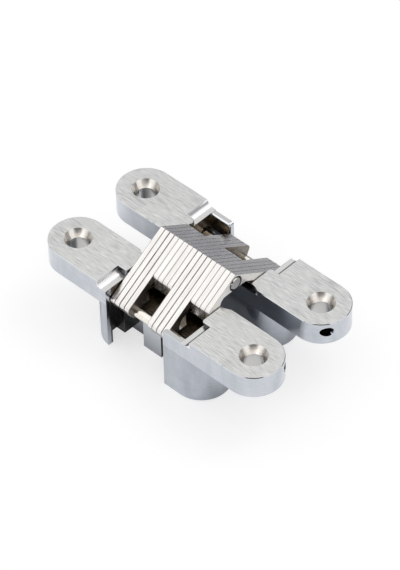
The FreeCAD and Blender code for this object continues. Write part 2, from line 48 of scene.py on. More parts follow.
def add(tree, kind, inputs=None, **settings):
    """Adds a node. A socket in inputs is linked, and any other value is set."""
    node = tree.nodes.new(kind)
    for name, value in settings.items():
        setattr(node, name, value)
    for key, value in (inputs or {}).items():
        if isinstance(value, bpy.types.NodeSocket):
            tree.links.new(value, node.inputs[key])
        else:
            node.inputs[key].default_value = value
    return node


def region(tree, limits, masks=()):
    """A mask: 1 where each value is over its low limit and under its high one, times the masks given."""
    shares = list(masks)
    for value, low, high in limits:
        if low is not None:
            over = add(tree, "ShaderNodeMath", {0: value, 1: low}, operation="GREATER_THAN")
            shares.append(over.outputs[0])
        if high is not None:
            under = add(tree, "ShaderNodeMath", {0: value, 1: high}, operation="LESS_THAN")
            shares.append(under.outputs[0])
    inside = shares[0]
    for share in shares[1:]:
        inside = add(tree, "ShaderNodeMath", {0: inside, 1: share}, operation="MULTIPLY").outputs[0]
    return inside


def new_material(name):
    """An empty material and its node tree."""
    made = bpy.data.materials.new(name)
    made.use_nodes = True
    made.node_tree.nodes.clear()
    return made, made.node_tree


def dress(names, material):
    """Gives one material to whole CAD nodes."""
    for name in names:
        for place_held in nodes[name].material_slots:
            place_held.material = material


# Nickel-plated zinc casting. The face is brushed, so it shows fine lines along its length in a
# warm light grey. The cast sides are smoother, bluer and more like a mirror. The screw holes and
# the steps are cut after the casting and stay bright, with painted highlight and painted shade on
# the steps, and the pockets are painted dark: painted shade in the deep recesses.
# The leaves are alike, so a place on either is told by its distances from the hinge's middle.
casting, tree = new_material("brushed_nickel_on_zinc")
place = add(tree, "ShaderNodeTexCoord")
spot = add(tree, "ShaderNodeSeparateXYZ", {0: place.outputs["Object"]})
facing = add(tree, "ShaderNodeSeparateXYZ", {0: place.outputs["Normal"]})
along = add(tree, "ShaderNodeMath", {0: spot.outputs["X"]}, operation="ABSOLUTE").outputs[0]
across = add(tree, "ShaderNodeMath", {0: spot.outputs["Y"]}, operation="ABSOLUTE").outputs[0]
height = spot.outputs["Z"]
upwards = facing.outputs["Z"]

# The face is what looks up at the leaf's full height.
leaf_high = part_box("leaf_a")[1]
FACE_HEIGHT = leaf_high.z
FACE_START = FACE_HEIGHT - 0.10 * MM
FACE_CLEAR = FACE_HEIGHT - 0.04 * MM
INNER_EDGE = -leaf_high.y
up = add(tree, "ShaderNodeMapRange", {"Value": upwards, "From Min": 0.90, "From Max": 0.97})
high = add(tree, "ShaderNodeMapRange", {
    "Value": height, "From Min": FACE_START, "From Max": FACE_CLEAR})
on_face = region(tree, [], [up.outputs[0], high.outputs[0]])
off_face = add(tree, "ShaderNodeMath", {0: 1.0, 1: on_face}, operation="SUBTRACT").outputs[0]

# Brush lines: the belt leaves lines 0.1 mm apart, drawn 0.3 mm apart so that they show.
BRUSH_SPACING = 0.30 * MM
BRUSH_LENGTH = 5.0 * MM
brush_place = add(tree, "ShaderNodeMapping", {
    "Vector": place.outputs["Object"],
    "Scale": (1 / BRUSH_LENGTH, 1 / BRUSH_SPACING, 1 / BRUSH_SPACING)})
brush = add(tree, "ShaderNodeTexNoise", {
    "Vector": brush_place.outputs[0], "Scale": 1.0, "Detail": 2.0, "Roughness": 0.6}).outputs["Fac"]
face_share = add(tree, "ShaderNodeMapRange", {"Value": brush, "From Min": 0.32, "From Max": 0.68})
face_tone = add(tree, "ShaderNodeMix", {
    "Factor": face_share.outputs[0], "A": srgb("BABBBA"), "B": srgb("E5E5E3")}, data_type="RGBA")

# Deeper scratches from the belt's coarse grains: in patches, most of them round the screw holes.
SCRATCH_SPACING = 0.22 * MM
SCRATCH_LENGTH = 9.0 * MM
SCRATCH_SLANT = math.radians(3.0)
SCRATCH_PATCH = 12.0 * MM
WORN_MOST = 6.0 * MM
WORN_LEAST = 13.0 * MM
screws = next(mount for mount in frame["record"]["mounts"] if mount["name"] == "leaf_b_screws")
SCREW_X = screws["dims"]["spacing_x_mm"] * MM / 2
SCREW_Y = screws["pos_m"][1]
along_gap = add(tree, "ShaderNodeMath", {0: along, 1: SCREW_X}, operation="SUBTRACT")
across_gap = add(tree, "ShaderNodeMath", {0: across, 1: SCREW_Y}, operation="SUBTRACT")
from_screw = add(tree, "ShaderNodeCombineXYZ", {"X": along_gap.outputs[0], "Y": across_gap.outputs[0]})
screw_range = add(tree, "ShaderNodeVectorMath", {0: from_screw.outputs[0]},
                  operation="LENGTH").outputs["Value"]
round_hole = add(tree, "ShaderNodeMapRange", {
    "Value": screw_range, "From Min": WORN_MOST, "From Max": WORN_LEAST, "To Min": 0.06, "To Max": 0.0})
patch = add(tree, "ShaderNodeTexNoise", {
    "Vector": place.outputs["Object"], "Scale": 1 / SCRATCH_PATCH, "Detail": 1.0})
patch_lift = add(tree, "ShaderNodeMapRange", {
    "Value": patch.outputs["Fac"], "From Min": 0.40, "From Max": 0.65, "To Min": -0.06, "To Max": 0.04})
scratch_place = add(tree, "ShaderNodeMapping", {
    "Vector": place.outputs["Object"],
    "Rotation": (0.0, 0.0, SCRATCH_SLANT),
    "Scale": (1 / SCRATCH_LENGTH, 1 / SCRATCH_SPACING, 1 / SCRATCH_SPACING)})
scratches = add(tree, "ShaderNodeTexNoise", {
    "Vector": scratch_place.outputs[0], "Scale": 1.0, "Detail": 2.0, "Roughness": 0.5})
scratch_level = scratches.outputs["Fac"]
for lift in (patch_lift, round_hole):
    scratch_level = add(tree, "ShaderNodeMath", {0: scratch_level, 1: lift.outputs[0]},
                        operation="ADD").outputs[0]
scratch_mark = add(tree, "ShaderNodeMapRange", {
    "Value": scratch_level, "From Min": 0.62, "From Max": 0.70, "To Max": 0.6}).outputs[0]
face_scratched = add(tree, "ShaderNodeMix", {
    "Factor": scratch_mark, "A": face_tone.outputs["Result"], "B": srgb("8A8B8B")}, data_type="RGBA")

# The cast sides: cloudy plating, drawn upwards as the casting was drawn from the die, with faint
# lines from linishing. The face plate's own sides are painted paler, a painted reflection.
CLOUD_WIDTH = 5.0 * MM
CLOUD_HEIGHT = 16.0 * MM
LINE_SIZE = (12.0 * MM, 2.0 * MM, 0.6 * MM)
LINE_SLANT = math.radians(4.0)
PLATE_FOOT = FACE_HEIGHT - 10.6 * MM
PLATE_CLEAR = FACE_HEIGHT - 10.0 * MM
cloud_place = add(tree, "ShaderNodeMapping", {
    "Vector": place.outputs["Object"], "Scale": (1 / CLOUD_WIDTH, 1 / CLOUD_WIDTH, 1 / CLOUD_HEIGHT)})
cloud = add(tree, "ShaderNodeTexNoise", {
    "Vector": cloud_place.outputs[0], "Scale": 1.0, "Detail": 3.0, "Roughness": 0.55}).outputs["Fac"]
line_place = add(tree, "ShaderNodeMapping", {
    "Vector": place.outputs["Object"],
    "Rotation": (0.0, LINE_SLANT, 0.0),
    "Scale": tuple(1 / size for size in LINE_SIZE)})
side_lines = add(tree, "ShaderNodeTexNoise", {
    "Vector": line_place.outputs[0], "Scale": 1.0, "Detail": 3.0, "Roughness": 0.6})
side_mix = add(tree, "ShaderNodeMix", {
    "Factor": 0.35, "A": cloud, "B": side_lines.outputs["Fac"]}).outputs["Result"]
side_share = add(tree, "ShaderNodeMapRange", {
    "Value": side_mix, "From Min": 0.34, "From Max": 0.66}).outputs[0]
body_tone = add(tree, "ShaderNodeMix", {
    "Factor": side_share, "A": srgb("AAAFB7"), "B": srgb("BDC1C9")}, data_type="RGBA")
# Painted reflection: the face plate's sides are painted paler than the body below them.
plate_side_painted_reflection_tone = add(tree, "ShaderNodeMix", {
    "Factor": side_share, "A": srgb("BBC0C8"), "B": srgb("CED1D7")}, data_type="RGBA")
on_plate = add(tree, "ShaderNodeMapRange", {
    "Value": height, "From Min": PLATE_FOOT, "From Max": PLATE_CLEAR})
side_tone = add(tree, "ShaderNodeMix", {
    "Factor": on_plate.outputs[0], "A": body_tone.outputs["Result"], "B": plate_side_painted_reflection_tone.outputs["Result"]},
    data_type="RGBA")

# The face's chamfered rim has lost its lines: worn bright in places, nicked and dull in others.
NICK_SIZE = 2.2 * MM
RIM_DEPTH = 0.27 * MM
on_rim = region(tree, [(height, FACE_HEIGHT - RIM_DEPTH, None)], [off_face])
nicks = add(tree, "ShaderNodeTexNoise", {
    "Vector": place.outputs["Object"], "Scale": 1 / NICK_SIZE,
    "Detail": 3.0, "Roughness": 0.6}).outputs["Fac"]
nick_share = add(tree, "ShaderNodeMapRange", {"Value": nicks, "From Min": 0.30, "From Max": 0.44})
rim_tone = add(tree, "ShaderNodeMix", {
    "Factor": nick_share.outputs[0], "A": srgb("8A8C90"), "B": srgb("D2D4D6")}, data_type="RGBA")

# Screw holes: everything near a screw's axis and below the face. The countersink is turned and
# shiny, with rings 0.3 mm apart, and the bore below it is duller.
SINK_REACH = 5.85 * MM
RING_SPACING = 0.3 * MM
in_hole = region(tree, [(screw_range, None, SINK_REACH)], [off_face])
on_cone = add(tree, "ShaderNodeMapRange", {
    "Value": upwards, "From Min": 0.20, "From Max": 0.35}).outputs[0]
rings = add(tree, "ShaderNodeTexNoise", {
    "W": screw_range, "Scale": 1 / RING_SPACING, "Detail": 1.0}, noise_dimensions="1D").outputs["Fac"]
cone_tone = add(tree, "ShaderNodeMix", {
    "Factor": rings, "A": srgb("F2EEE9"), "B": srgb("FBF8F4")}, data_type="RGBA")
hole_tone = add(tree, "ShaderNodeMix", {
    "Factor": on_cone, "A": srgb("C6C5C4"), "B": cone_tone.outputs["Result"]}, data_type="RGBA")

# Steps at the pocket's ends, cut with a ball-nosed tool and polished. The round corner is painted
# brighter than the flat floor, a painted highlight, and the flat wall where the tool stopped and
# the corner's side that faces -X are painted dark, painted shade. The pocket ends a little past
# the plates.
STACK_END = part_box("link_plate_16")[1].x
POCKET_END = STACK_END + 0.345 * MM
STEP_START = POCKET_END - 0.07 * MM
STEP_END = POCKET_END + 4.58 * MM
STEP_WALL = INNER_EDGE + 12.4 * MM
STEP_SLACK = 0.05 * MM
STEP_FLOOR = FACE_HEIGHT - 2.9 * MM
STEP_SHADE_START = STEP_WALL + 0.3 * MM
STEP_SHADE_FULL = STEP_WALL + 0.1 * MM
in_step = region(tree, [
    (along, STEP_START, STEP_END),
    (across, STEP_WALL - STEP_SLACK, None),
    (height, STEP_FLOOR, None)], [off_face])
step_flat = add(tree, "ShaderNodeMapRange", {"Value": upwards, "From Min": 0.86, "From Max": 0.995})
# Painted highlight: the round corner is painted brighter than the flat floor.
step_painted_highlight = add(tree, "ShaderNodeMix", {
    "Factor": step_flat.outputs[0], "A": srgb("F0F0F1"), "B": srgb("D4D4D3")}, data_type="RGBA")
# Painted shade: the flat wall where the tool stopped is painted dark.
step_wall_painted_shade = add(tree, "ShaderNodeMapRange", {
    "Value": across, "From Min": STEP_SHADE_START, "From Max": STEP_SHADE_FULL})
# Painted shade: the round corner's side that faces -X is painted dark too.
step_corner_painted_shade = add(tree, "ShaderNodeMapRange", {
    "Value": facing.outputs["X"], "From Min": -0.10, "From Max": -0.25})
step_painted_shade = add(tree, "ShaderNodeMath", {0: step_wall_painted_shade.outputs[0], 1: step_corner_painted_shade.outputs[0]},
                operation="MAXIMUM")
step_tone = add(tree, "ShaderNodeMix", {
    "Factor": step_painted_shade.outputs[0], "A": step_painted_highlight.outputs["Result"], "B": srgb("5C5B5A")},
    data_type="RGBA")

# The outer wall's top is milled flat, and its inner edge is rounded over and polished. The rounded
# edge is painted near white, a painted highlight that draws a bright line along the pocket.
WALL_FACE = INNER_EDGE + 21.23 * MM
WALL_LIP = WALL_FACE + 1.03 * MM
WALL_SLACK = 0.02 * MM
WALL_TOP = FACE_HEIGHT - 3.1 * MM
LIP_FOOT = FACE_HEIGHT - 4.15 * MM
on_wall = region(tree, [(across, WALL_FACE - WALL_SLACK, None), (along, None, POCKET_END)])
on_wall_top = region(tree, [(upwards, 0.98, None)], [on_wall])
# Painted highlight: the lip gets a near-white tone below.
on_lip = region(tree, [(across, None, WALL_LIP), (height, LIP_FOOT, WALL_TOP - WALL_SLACK)], [on_wall])

# Pockets: between the end walls, inside the outer wall and below the face. They are painted dark,
# painted shade for the deep recess: brown-grey up by the plates, darker grey further down. The
# fronts of the blocks, which face outwards, are painted paler than the sides up to a little below
# their top, a painted reflection, and above that keep the pockets' painted shade.
INNER_RIM = INNER_EDGE + 0.16 * MM
POCKET_TOP = FACE_HEIGHT - 0.6 * MM
OPEN_SIDE = WALL_FACE - 0.12 * MM
HOLLOW_DEPTH = 1.1 * MM
FRONT_TOP = 19.5 * MM
FRONT_CLEAR = 15.5 * MM
side_sign = add(tree, "ShaderNodeMath", {0: spot.outputs["Y"]}, operation="SIGN")
outwards = add(tree, "ShaderNodeMath", {0: facing.outputs["Y"], 1: side_sign.outputs[0]},
               operation="MULTIPLY").outputs[0]
wall_inside = region(tree, [(outwards, None, -0.3), (height, None, LIP_FOOT)])
pocket_reach = add(tree, "ShaderNodeMapRange", {
    "Value": wall_inside, "To Min": OPEN_SIDE, "To Max": OPEN_SIDE + HOLLOW_DEPTH})
pocket_space = region(tree, [
    (along, None, POCKET_END),
    (across, INNER_RIM, pocket_reach.outputs[0]),
    (height, None, POCKET_TOP)])
# Painted reflection: the lower fronts of the blocks are painted paler than the sides, and their upper part
# keeps the painted shade.
low_front = add(tree, "ShaderNodeMapRange", {
    "Value": height, "From Min": FRONT_TOP, "From Max": FRONT_CLEAR})
block_front = region(tree, [(outwards, 0.7, None)], [low_front.outputs[0]])
on_front = region(tree, [], [pocket_space, block_front])
not_front = add(tree, "ShaderNodeMath", {0: 1.0, 1: block_front}, operation="SUBTRACT")
in_bays = region(tree, [], [pocket_space, not_front.outputs[0]])

# The slide slots go on from the pocket into the end walls, and are painted as dark: painted shade.
SLOT_END = STEP_END - 0.05 * MM
SLOT_INNER = INNER_EDGE + 14.56 * MM
SLOT_OUTER = SLOT_INNER + 7.5 * MM
SLOT_TOP = 25.5 * MM
BASE_EDGE = 0.05 * MM
GREY_BELOW = 12.0 * MM
BROWN_ABOVE = 22.0 * MM
in_slot = region(tree, [(across, SLOT_INNER, SLOT_OUTER), (height, None, SLOT_TOP), (along, None, SLOT_END)])
in_hollow = add(tree, "ShaderNodeMath", {0: in_bays, 1: in_slot}, operation="MAXIMUM")
in_pocket = region(tree, [(height, BASE_EDGE, None)], [in_hollow.outputs[0]])
# Painted shade: the pockets are painted dark, lighter and browner up by the plates.
pocket_shade_height = add(tree, "ShaderNodeMapRange", {
    "Value": height, "From Min": GREY_BELOW, "From Max": BROWN_ABOVE})
pocket_mottle = add(tree, "ShaderNodeMapRange", {"Value": nicks, "From Min": 0.3, "From Max": 0.7}).outputs[0]
brown_tone = add(tree, "ShaderNodeMix", {
    "Factor": pocket_mottle, "A": srgb("4B443B"), "B": srgb("8F826F")}, data_type="RGBA")
grey_tone = add(tree, "ShaderNodeMix", {
    "Factor": pocket_mottle, "A": srgb("484848"), "B": srgb("626262")}, data_type="RGBA")
pocket_tone = add(tree, "ShaderNodeMix", {
    "Factor": pocket_shade_height.outputs[0], "A": grey_tone.outputs["Result"], "B": brown_tone.outputs["Result"]},
    data_type="RGBA")

# Each finish covers the ones before it.
casting_colour = side_tone.outputs["Result"]
for mask, tone in (
    (on_face, face_scratched.outputs["Result"]),
    (on_rim, rim_tone.outputs["Result"]),
    (in_hole, hole_tone.outputs["Result"]),
    (in_step, step_tone.outputs["Result"]),
    (on_wall_top, srgb("C2C3C3")),
    (on_lip, srgb("EDEEF0")),
    (in_pocket, pocket_tone.outputs["Result"]),
    (on_front, srgb("CFD3D9")),
):
    casting_colour = add(tree, "ShaderNodeMix", {
        "Factor": mask, "A": casting_colour, "B": tone}, data_type="RGBA").outputs["Result"]

face_gloss = add(tree, "ShaderNodeMapRange", {
    "Value": brush, "From Min": 0.3, "From Max": 0.7, "To Min": 0.42, "To Max": 0.32})
side_gloss = add(tree, "ShaderNodeMapRange", {
    "Value": cloud, "From Min": 0.3, "From Max": 0.7, "To Min": 0.14, "To Max": 0.08})
hole_gloss = add(tree, "ShaderNodeMix", {"Factor": on_cone, "A": 0.26, "B": 0.28})
polished = add(tree, "ShaderNodeMath", {0: in_step, 1: on_lip}, operation="MAXIMUM")
casting_gloss = side_gloss.outputs[0]
for mask, roughness in (
    (on_face, face_gloss.outputs[0]),
    (in_pocket, 0.28),
    (in_hole, hole_gloss.outputs["Result"]),
    (polished.outputs[0], 0.26),
):
    casting_gloss = add(tree, "ShaderNodeMix", {
        "Factor": mask, "A": casting_gloss, "B": roughness}).outputs["Result"]

face_relief = add(tree, "ShaderNodeMath", {0: brush, 1: scratch_mark}, operation="SUBTRACT")
casting_relief = side_mix
for mask, level in ((on_face, face_relief.outputs[0]), (in_hole, rings)):
    casting_relief = add(tree, "ShaderNodeMix", {
        "Factor": mask, "A": casting_relief, "B": level}).outputs["Result"]
relief = add(tree, "ShaderNodeBump", {"Strength": 0.22, "Distance": 0.02 * MM, "Height": casting_relief})
skin = add(tree, "ShaderNodeBsdfPrincipled", {
    "Base Color": casting_colour, "Metallic": 1.0, "Roughness": casting_gloss,
    "Normal": relief.outputs[0]})
add(tree, "ShaderNodeOutputMaterial", {"Surface": skin.outputs[0]})
dress(["leaf_a", "leaf_b"], casting)


# The sixteen link plates.
# Each is punched from 2.3 mm steel strip, tumbled until its edges are round, and nickel plated.
# The punched edge is pale, and the flat sides keep a little of the strip's rolling grain.

plates = [f"link_plate_{i:02d}" for i in range(1, 17)]
TUMBLED_EDGE = 0.16 * MM
for name in plates:
    rounding = nodes[name].modifiers.new("tumbled_edge", "BEVEL")
    rounding.width = TUMBLED_EDGE
    rounding.segments = 2
    rounding.limit_method = "ANGLE"
    rounding.angle_limit = math.radians(55.0)

# Punched and tumbled strip steel, nickel plated. The edges are pale, warm and fairly shiny, with
# painted shade along the gaps between the plates, and the flat sides are matt, painted dark inside
# the stack as painted shade.
link_steel, tree = new_material("punched_tumbled_steel")
place = add(tree, "ShaderNodeTexCoord")
spot = add(tree, "ShaderNodeSeparateXYZ", {0: place.outputs["Object"]})
facing = add(tree, "ShaderNodeSeparateXYZ", {0: place.outputs["Normal"]})
along = add(tree, "ShaderNodeMath", {0: spot.outputs["X"]}, operation="ABSOLUTE").outputs[0]
turned = add(tree, "ShaderNodeMath", {0: facing.outputs["X"]}, operation="ABSOLUTE")
flat_side = add(tree, "ShaderNodeMapRange", {
    "Value": turned.outputs[0], "From Min": 0.90, "From Max": 0.98}).outputs[0]

# The punched edge: burnished lines along the outline, 0.3 mm apart, drawn twice as far apart.
BURNISH_SPACING = 0.6 * MM
BURNISH_LENGTH = 16.0 * MM
burnish_place = add(tree, "ShaderNodeMapping", {
    "Vector": place.outputs["Object"],
    "Scale": (1 / BURNISH_SPACING, 1 / BURNISH_LENGTH, 1 / BURNISH_LENGTH)})
burnish = add(tree, "ShaderNodeTexNoise", {
    "Vector": burnish_place.outputs[0], "Scale": 1.0, "Detail": 1.0, "Roughness": 0.5}).outputs["Fac"]
burnish_share = add(tree, "ShaderNodeMapRange", {"Value": burnish, "From Min": 0.34, "From Max": 0.66})
edge_tone = add(tree, "ShaderNodeMix", {
    "Factor": burnish_share.outputs[0], "A": srgb("EDE9E6"), "B": srgb("F9F6F3")}, data_type="RGBA")

# No two plates are punched quite alike, so each edge is a little paler or darker than the next.
PLATE_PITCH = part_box("link_plate_02")[0].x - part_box("link_plate_01")[0].x
STACK_START = -len(plates) / 2 * PLATE_PITCH
from_start = add(tree, "ShaderNodeMath", {0: spot.outputs["X"], 1: STACK_START}, operation="SUBTRACT")
gap_number = add(tree, "ShaderNodeMath", {0: from_start.outputs[0], 1: PLATE_PITCH},
                 operation="DIVIDE").outputs[0]
plate_number = add(tree, "ShaderNodeMath", {0: gap_number}, operation="FLOOR")
plate_luck = add(tree, "ShaderNodeTexWhiteNoise", {"W": plate_number.outputs[0]}, noise_dimensions="1D")
dulling = add(tree, "ShaderNodeMapRange", {"Value": plate_luck.outputs["Value"], "To Max": 0.25})
plate_edge = add(tree, "ShaderNodeMix", {
    "Factor": dulling.outputs[0], "A": edge_tone.outputs["Result"], "B": srgb("D6D3D1")},
    data_type="RGBA")

# A thin dark line is painted along the gaps between the plates: painted shade in the gaps. It is
# stronger at some gaps and places than at others, strongest on the flank towards leaf A, and at
# the gaps among the plates whose long arms reach out there: the first four of every eight.
GAP_SHADE_REACH = 0.28 * MM
GAP_SHADE_CORE = 0.17 * MM
BLOTCH_SIZE = 5.0 * MM
gap_nearest = add(tree, "ShaderNodeMath", {0: gap_number}, operation="ROUND").outputs[0]
gap_offset = add(tree, "ShaderNodeMath", {0: gap_number, 1: gap_nearest}, operation="SUBTRACT")
gap_away = add(tree, "ShaderNodeMath", {0: gap_offset.outputs[0]}, operation="ABSOLUTE")
gap_reach = add(tree, "ShaderNodeMath", {0: gap_away.outputs[0], 1: PLATE_PITCH}, operation="MULTIPLY")
gap_shade_band = add(tree, "ShaderNodeMapRange", {
    "Value": gap_reach.outputs[0], "From Min": GAP_SHADE_REACH, "From Max": GAP_SHADE_CORE})
gap_luck = add(tree, "ShaderNodeTexWhiteNoise", {"W": gap_nearest}, noise_dimensions="1D")
gap_share = add(tree, "ShaderNodeMapRange", {
    "Value": gap_luck.outputs["Value"], "To Min": 0.60, "To Max": 1.0})
in_eight = add(tree, "ShaderNodeMath", {0: gap_nearest, 1: 8.0}, operation="MODULO")
long_arms = region(tree, [(in_eight.outputs[0], None, 3.5)])
arm_share = add(tree, "ShaderNodeMapRange", {"Value": long_arms, "To Min": 0.35, "To Max": 1.0})
gap_blotches = add(tree, "ShaderNodeTexNoise", {
    "Vector": place.outputs["Object"], "Scale": 1 / BLOTCH_SIZE, "Detail": 2.0, "Roughness": 0.6})
blotch_share = add(tree, "ShaderNodeMapRange", {
    "Value": gap_blotches.outputs["Fac"], "From Min": 0.35, "From Max": 0.65, "To Min": 0.6, "To Max": 1.0})
door_side = add(tree, "ShaderNodeMapRange", {
    "Value": facing.outputs["Y"], "From Min": 0.3, "From Max": -0.3, "To Min": 0.05, "To Max": 1.0})
gap_shade_shares = (gap_share, arm_share, blotch_share, door_side, gap_shade_band)
# Painted shade: a dark line along each gap between the plates.
gap_painted_shade = region(tree, [], [share.outputs[0] for share in gap_shade_shares])

# The strip's rolling grain: blotches along the plate. The two outer flat sides are pale, and the
# ones inside the stack are painted dark: painted shade inside the stack.
GRAIN_WIDTH = 1.0 * MM
GRAIN_LENGTH = 5.0 * MM
PLATE_THICKNESS = STACK_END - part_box("link_plate_16")[0].x
STACK_FACE = STACK_END - PLATE_THICKNESS / 4
grain_place = add(tree, "ShaderNodeMapping", {
    "Vector": place.outputs["Object"], "Scale": (1 / GRAIN_WIDTH, 1 / GRAIN_LENGTH, 1 / GRAIN_WIDTH)})
grain = add(tree, "ShaderNodeTexNoise", {
    "Vector": grain_place.outputs[0], "Scale": 1.0, "Detail": 4.0, "Roughness": 0.6}).outputs["Fac"]
grain_share = add(tree, "ShaderNodeMapRange", {
    "Value": grain, "From Min": 0.32, "From Max": 0.68}).outputs[0]
outer_flat_tone = add(tree, "ShaderNodeMix", {
    "Factor": grain_share, "A": srgb("F1EDE9"), "B": srgb("FBF8F5")}, data_type="RGBA")
# Painted shade: the flat sides inside the stack are painted dark.
inner_flat_painted_shade_tone = add(tree, "ShaderNodeMix", {
    "Factor": grain_share, "A": srgb("7C7771"), "B": srgb("98928B")}, data_type="RGBA")
at_end = region(tree, [(along, STACK_FACE, None)])
flat_tone = add(tree, "ShaderNodeMix", {
    "Factor": at_end, "A": inner_flat_painted_shade_tone.outputs["Result"], "B": outer_flat_tone.outputs["Result"]},
    data_type="RGBA")

# The countersink round each end of the centre pin is painted dark: painted shade round the pin's end.
pin_low, pin_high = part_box("centre_pin")
PIN_HEIGHT = (pin_low.z + pin_high.z) / 2
RING_REACH = pin_high.y + 0.69 * MM
above_pin = add(tree, "ShaderNodeMath", {0: spot.outputs["Z"], 1: PIN_HEIGHT}, operation="SUBTRACT")
from_pin = add(tree, "ShaderNodeCombineXYZ", {"X": spot.outputs["Y"], "Y": above_pin.outputs[0]})
pin_range = add(tree, "ShaderNodeVectorMath", {0: from_pin.outputs[0]}, operation="LENGTH")
# Painted shade: the ring round the pin's end is painted dark.
pin_ring_painted_shade = region(tree, [(pin_range.outputs["Value"], None, RING_REACH)], [at_end])

plate_colour = plate_edge.outputs["Result"]
for mask, tone in (
    (gap_painted_shade, srgb("161412")),
    (flat_side, flat_tone.outputs["Result"]),
    (pin_ring_painted_shade, srgb("3A3732")),
):
    plate_colour = add(tree, "ShaderNodeMix", {
        "Factor": mask, "A": plate_colour, "B": tone}, data_type="RGBA").outputs["Result"]

DENT_SIZE = 1.6 * MM
edge_gloss = add(tree, "ShaderNodeMapRange", {
    "Value": grain, "From Min": 0.3, "From Max": 0.7, "To Min": 0.32, "To Max": 0.22})
plate_gloss = add(tree, "ShaderNodeMix", {"Factor": flat_side, "A": edge_gloss.outputs[0], "B": 0.44})
dents = add(tree, "ShaderNodeTexNoise", {
    "Vector": place.outputs["Object"], "Scale": 1 / DENT_SIZE, "Detail": 2.0})
uneven = add(tree, "ShaderNodeMix", {"Factor": 0.5, "A": burnish, "B": dents.outputs["Fac"]})
relief = add(tree, "ShaderNodeBump", {
    "Strength": 0.1, "Distance": 0.012 * MM, "Height": uneven.outputs["Result"]})
skin = add(tree, "ShaderNodeBsdfPrincipled", {
    "Base Color": plate_colour, "Metallic": 1.0, "Roughness": plate_gloss.outputs["Result"],
    "Normal": relief.outputs[0]})
add(tree, "ShaderNodeOutputMaterial", {"Surface": skin.outputs[0]})
dress(plates, link_steel)


# The five pins.
# They are turned from steel rod, chamfered, ground and nickel plated, so they are the brightest
# pieces. The centre pin is held in the stack of plates; the others sit in the leaves.

pins = ["centre_pin", "pivot_pin_a", "pivot_pin_b", "slide_pin_a", "slide_pin_b"]

# Ground steel, nickel plated: a warm bright mirror with faint rings, and matt cut ends.
pin_steel, tree = new_material("ground_nickel_plated_steel")
place = add(tree, "ShaderNodeTexCoord")
facing = add(tree, "ShaderNodeSeparateXYZ", {0: place.outputs["Normal"]})
turned = add(tree, "ShaderNodeMath", {0: facing.outputs["X"]}, operation="ABSOLUTE")
on_end = add(tree, "ShaderNodeMapRange", {
    "Value": turned.outputs[0], "From Min": 0.90, "From Max": 0.97}).outputs[0]

# Grinding leaves rings round the pin, about 0.2 mm apart.
GRINDING_SPACING = 0.2 * MM
GRINDING_LENGTH = 4.0 * MM
grinding_place = add(tree, "ShaderNodeMapping", {
    "Vector": place.outputs["Object"],
    "Scale": (1 / GRINDING_SPACING, 1 / GRINDING_LENGTH, 1 / GRINDING_LENGTH)})
grinding = add(tree, "ShaderNodeTexNoise", {
    "Vector": grinding_place.outputs[0], "Scale": 1.0, "Detail": 2.0, "Roughness": 0.5}).outputs["Fac"]
grinding_share = add(tree, "ShaderNodeMapRange", {"Value": grinding, "From Min": 0.34, "From Max": 0.66})
shank_tone = add(tree, "ShaderNodeMix", {
    "Factor": grinding_share.outputs[0], "A": srgb("EEE8DF"), "B": srgb("F6F1E9")}, data_type="RGBA")
pin_tone = add(tree, "ShaderNodeMix", {
    "Factor": on_end, "A": shank_tone.outputs["Result"], "B": srgb("C6C4C1")}, data_type="RGBA")
shank_gloss = add(tree, "ShaderNodeMapRange", {
    "Value": grinding, "From Min": 0.3, "From Max": 0.7, "To Min": 0.13, "To Max": 0.10})
pin_gloss = add(tree, "ShaderNodeMix", {"Factor": on_end, "A": shank_gloss.outputs[0], "B": 0.42})
relief = add(tree, "ShaderNodeBump", {"Strength": 0.03, "Distance": 0.005 * MM, "Height": grinding})
skin = add(tree, "ShaderNodeBsdfPrincipled", {
    "Base Color": pin_tone.outputs["Result"], "Metallic": 1.0,
    "Roughness": pin_gloss.outputs["Result"], "Normal": relief.outputs[0]})
add(tree, "ShaderNodeOutputMaterial", {"Surface": skin.outputs[0]})
dress(pins, pin_steel)


# The floor.
# A white studio table, 3 m wide, that the hinge stands on. It keeps the hinge's soft shadow.
# Camera and mirror rays see added white, so that it ends in the backdrop without a line. Mirror
# rays see hardly any under the hinge, where no light gets in.

TABLE_HALF = 1.5
TABLE_DROP = 0.05 * MM
table_top = bpy.data.meshes.new("studio_table")
table_top.from_pydata([
    (-TABLE_HALF, -TABLE_HALF, 0), (TABLE_HALF, -TABLE_HALF, 0),
    (TABLE_HALF, TABLE_HALF, 0), (-TABLE_HALF, TABLE_HALF, 0)], [], [(0, 1, 2, 3)])
floor = bpy.data.objects.new("studio_table", table_top)
floor.location.z = -TABLE_DROP
bpy.context.scene.collection.objects.link(floor)

# White paper: matt, and as bright as the white room round it.
paper, tree = new_material("white_paper")
rays = add(tree, "ShaderNodeLightPath")
place = add(tree, "ShaderNodeTexCoord")
spot = add(tree, "ShaderNodeSeparateXYZ", {0: place.outputs["Object"]})
across = add(tree, "ShaderNodeMath", {0: spot.outputs["Y"]}, operation="ABSOLUTE").outputs[0]

